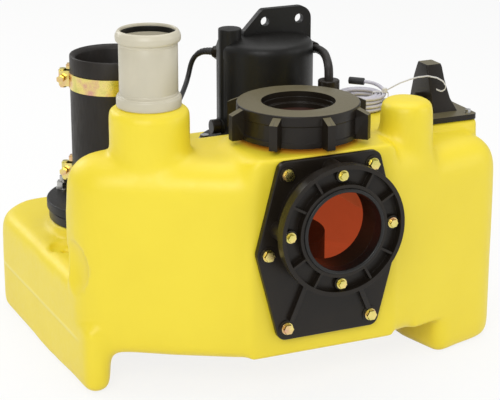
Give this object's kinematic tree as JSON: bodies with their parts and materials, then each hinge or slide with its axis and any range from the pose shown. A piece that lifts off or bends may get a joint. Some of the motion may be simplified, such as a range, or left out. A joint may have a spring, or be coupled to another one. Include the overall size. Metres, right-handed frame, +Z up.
{
  "type": "sewage lifting station",
  "caption": "Floor-standing moulded tank with a pump, flanged side inlet, screw-ring top inlet, vent sleeve, level sensor and a clamped pressure hose over a flap valve.",
  "frame": {"origin": "on the floor, straight below the pump shaft, on the underside of the tank", "axes": "+Z up along the pump shaft, -Y towards the front with the inlet plate, +X to the right"},
  "size_m": [0.641, 0.614, 0.511],
  "materials": {
    "tank_shell": "satin moulded",
    "threaded_inserts": "machined",
    "inlet_plate": "satin moulded",
    "inlet_plate_gasket": "matt",
    "inlet_plate_screws": "yellow chromated",
    "inlet_clamp_ring": "satin moulded",
    "inlet_pipe_seal": "satin",
    "inlet_ring_screws": "yellow chromated",
    "top_inlet_gasket": "matt",
    "top_inlet_adapter": "matt",
    "top_screw_ring": "matt",
    "vent_sleeve": "satin",
    "vent_sleeve_seals": "matt",
    "valve_base": "satin moulded",
    "valve_gasket": "matt",
    "valve_flap": "matt",
    "flap_pin": "plain",
    "discharge_spigot": "satin moulded",
    "flange_studs": "plain",
    "flange_washers": "plain",
    "flange_nuts": "zinc",
    "pressure_hose": "satin",
    "hose_clamps": "yellow chromated",
    "clamp_bolts": "yellow chromated",
    "pump_flange_gasket": "matt",
    "pump_flange": "satin",
    "pump_flange_screws": "plain",
    "motor_housing": "satin",
    "housing_screws": "plain",
    "oil_plug": "satin",
    "stator_core": "laminated",
    "stator_windings": "enamelled copper",
    "rotor_shaft": "ground",
    "rotor_core": "laminated",
    "upper_bearing": "ground",
    "lower_bearing": "ground",
    "pump_column": "painted",
    "oil_chamber": "painted",
    "shaft_seals": "matt",
    "volute": "painted",
    "suction_plate": "painted",
    "impeller": "cast",
    "impeller_screw": "plain",
    "pressure_pipe": "satin",
    "sensor_gasket": "matt",
    "sensor_housing": "satin moulded",
    "sensor_screws": "plain",
    "level_float": "moulded",
    "float_rod": "plain",
    "cable_glands": "satin",
    "vent_riser": "satin",
    "vent_hose": "satin",
    "motor_cable": "satin",
    "motor_cable_coil": "satin",
    "motor_plug": "satin",
    "sensor_cable": "satin",
    "sensor_cable_coil": "satin",
    "sensor_plug": "satin",
    "cable_tie": "satin"
  },
  "bodies": {
    "tank": {"tank_shell": "tank_shell", "threaded_inserts": "threaded_inserts", "inlet_plate": "inlet_plate", "inlet_plate_gasket": "inlet_plate_gasket", "inlet_plate_screws": "inlet_plate_screws", "inlet_clamp_ring": "inlet_clamp_ring", "inlet_pipe_seal": "inlet_pipe_seal", "inlet_ring_screws": "inlet_ring_screws", "top_inlet_gasket": "top_inlet_gasket", "top_inlet_adapter": "top_inlet_adapter", "vent_sleeve": "vent_sleeve", "vent_sleeve_seals": "vent_sleeve_seals", "valve_base": "valve_base", "valve_gasket": "valve_gasket", "flap_pin": "flap_pin", "discharge_spigot": "discharge_spigot", "flange_studs": "flange_studs", "flange_washers": "flange_washers", "flange_nuts": "flange_nuts", "pressure_hose": "pressure_hose", "hose_clamps": "hose_clamps", "clamp_bolts": "clamp_bolts", "pump_flange_gasket": "pump_flange_gasket", "pump_flange": "pump_flange", "pump_flange_screws": "pump_flange_screws", "motor_housing": "motor_housing", "housing_screws": "housing_screws", "oil_plug": "oil_plug", "stator_core": "stator_core", "stator_windings": "stator_windings", "upper_bearing": "upper_bearing", "lower_bearing": "lower_bearing", "pump_column": "pump_column", "oil_chamber": "oil_chamber", "shaft_seals": "shaft_seals", "volute": "volute", "suction_plate": "suction_plate", "pressure_pipe": "pressure_pipe", "sensor_gasket": "sensor_gasket", "sensor_housing": "sensor_housing", "sensor_screws": "sensor_screws", "cable_glands": "cable_glands", "vent_riser": "vent_riser", "vent_hose": "vent_hose", "motor_cable": "motor_cable", "motor_cable_coil": "motor_cable_coil", "motor_plug": "motor_plug", "sensor_cable": "sensor_cable", "sensor_cable_coil": "sensor_cable_coil", "sensor_plug": "sensor_plug", "cable_tie": "cable_tie"},
    "rotor": {"rotor_shaft": "rotor_shaft", "rotor_core": "rotor_core", "impeller": "impeller", "impeller_screw": "impeller_screw"},
    "flap": {"valve_flap": "valve_flap"},
    "float": {"level_float": "level_float", "float_rod": "float_rod"},
    "screw_ring": {"top_screw_ring": "top_screw_ring"}
  },
  "joints": [
    {"name": "rotor_spin", "type": "hinge", "parent": "tank", "child": "rotor", "pos_m": [0, 0, 0.2], "axis": [0, 0, 1], "continuous": true},
    {"name": "flap_swing", "type": "hinge", "parent": "tank", "child": "flap", "pos_m": [-0.1845, 0.047, 0.1923], "axis": [0, 1, 0], "range_deg": [0, 50]},
    {"name": "float_rise", "type": "slide", "parent": "tank", "child": "float", "axis": [0, 0, 1], "range_m": [0, 0.09]},
    {"name": "ring_turn", "type": "hinge", "parent": "tank", "child": "screw_ring", "pos_m": [-0.0565, -0.233, 0.37], "axis": [0, 0, 1], "range_deg": [0, 720]}
  ]
}
